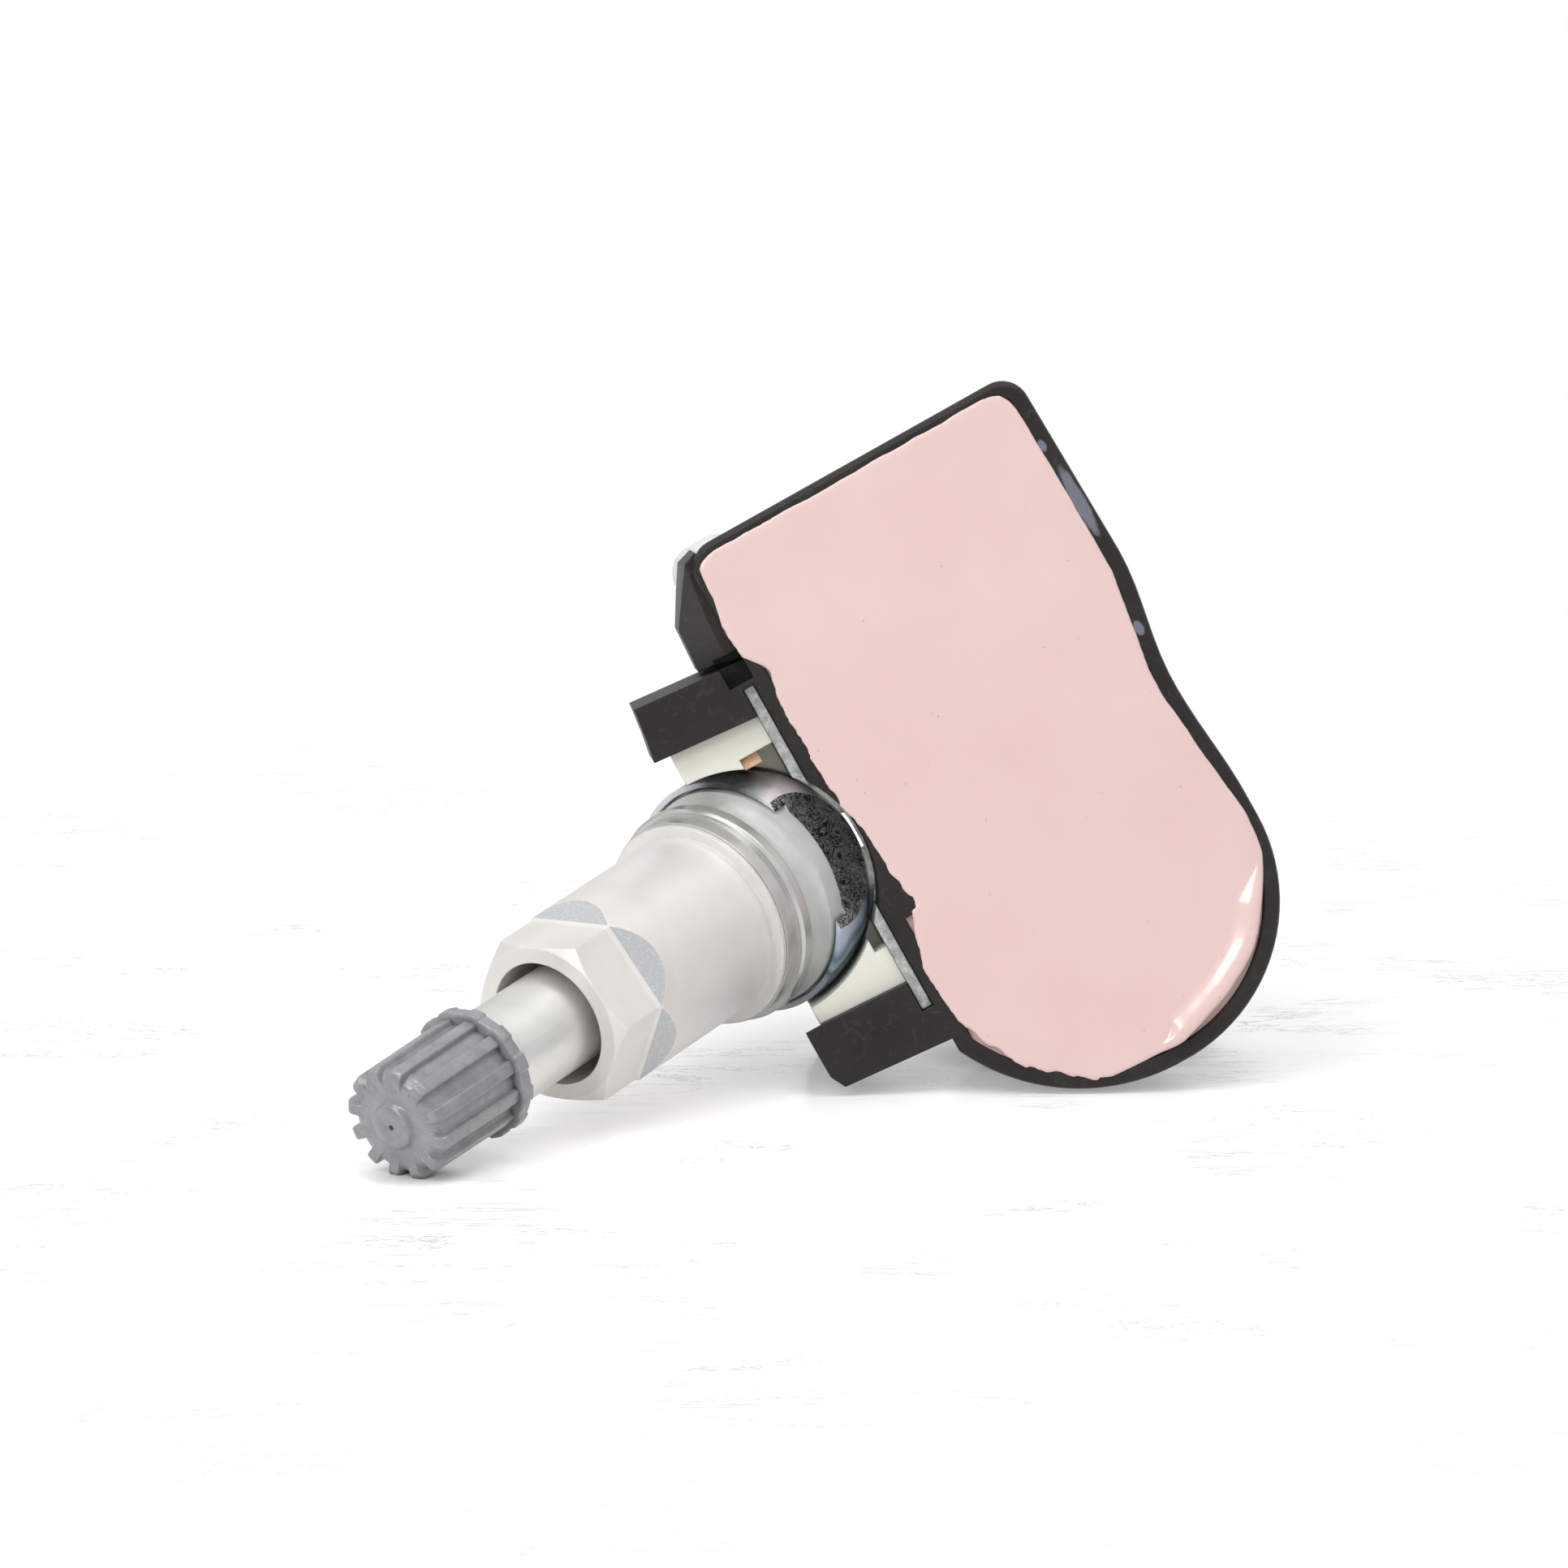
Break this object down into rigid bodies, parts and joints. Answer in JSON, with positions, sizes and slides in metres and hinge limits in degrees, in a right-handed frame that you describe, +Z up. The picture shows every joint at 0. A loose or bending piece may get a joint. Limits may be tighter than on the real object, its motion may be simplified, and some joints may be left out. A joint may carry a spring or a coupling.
{
  "type": "tyre pressure sensor",
  "caption": "Tyre pressure sensor in a potted plastic housing, with a tilting clamp-in valve, sleeve nut and ribbed cap.",
  "frame": {"origin": "where the valve's axis meets the wheel's seat, on the underside of the washer", "axes": "+Z up with the sensor lying as it comes to rest; +X to the right along its length; -Y towards the open, sealed face"},
  "size_m": [0.0688, 0.0498, 0.0523],
  "materials": {
    "housing": "black moulded nylon",
    "potting": "glossy pink sealing compound",
    "pale_plastic": "pale moulded",
    "board": "lacquered circuit board",
    "steel": "plain steel",
    "chip": "moulded chip",
    "ferrite": "dull ferrite",
    "copper": "bright copper",
    "cream_plastic": "cream nylon",
    "chrome": "polished plating",
    "aluminium": "bead blasted and anodised",
    "grey_rubber": "light grey rubber",
    "washer": "glossy grey",
    "brass": "plain brass",
    "red_rubber": "red rubber",
    "black_rubber": "black rubber",
    "cap": "grey moulded"
  },
  "bodies": {
    "sensor": {"housing": "housing", "potting": "potting", "rest_pad": "pale_plastic", "circuit_board": "board", "coin_cell": "steel", "cell_tab_upper": "steel", "cell_tab_lower": "steel", "sensor_chip": "chip", "antenna_core": "ferrite", "antenna_winding": "copper", "timing_crystal": "steel", "seat_pad_upper": "cream_plastic", "seat_pad_lower": "cream_plastic", "retaining_plate": "steel", "contact_spring": "copper"},
    "valve": {"collar": "chrome", "tee_bolt": "steel", "valve_stem": "aluminium", "grommet": "grey_rubber", "core_body": "brass", "core_seal": "red_rubber", "core_spring": "steel"},
    "washer": {"seal_washer": "washer"},
    "nut": {"sleeve_nut": "aluminium"},
    "plunger": {"core_pin": "brass", "pin_seal": "black_rubber"},
    "cap_travel": {"cap_gasket": "black_rubber"},
    "cap_turn": {"cap": "cap"}
  },
  "joints": [
    {"name": "valve_tilt", "type": "hinge", "parent": "sensor", "child": "valve", "pos_m": [0.00196, 0.00242, 0.00073], "axis": [-0.4833, 0.1294, 0.8658], "range_deg": [-35.5, 4.5]},
    {"name": "nut_travel", "type": "slide", "parent": "valve", "child": "washer", "axis": [-0.6136, -0.7555, -0.2296], "range_m": [0, 0.007]},
    {"name": "nut_turn", "type": "hinge", "parent": "washer", "child": "nut", "pos_m": [0, 0, 0], "axis": [-0.6136, -0.7555, -0.2296], "range_deg": [0, 2520]},
    {"name": "pin_press", "type": "slide", "parent": "valve", "child": "plunger", "axis": [0.6136, 0.7555, 0.2296], "range_m": [0, 0.0012], "stiffness_N_per_m": 400, "springref_m": -0.002},
    {"name": "cap_lift", "type": "slide", "parent": "valve", "child": "cap_travel", "axis": [-0.6136, -0.7555, -0.2296], "range_m": [0, 0.0082]},
    {"name": "cap_unscrew", "type": "hinge", "parent": "cap_travel", "child": "cap_turn", "pos_m": [0, 0, 0], "axis": [-0.6136, -0.7555, -0.2296], "range_deg": [0, 3690]}
  ],
  "couplings": [
    {"joint": "nut_turn", "follows": "nut_travel", "rad_per_m": 6283.2},
    {"joint": "cap_unscrew", "follows": "cap_lift", "rad_per_m": 7854}
  ]
}
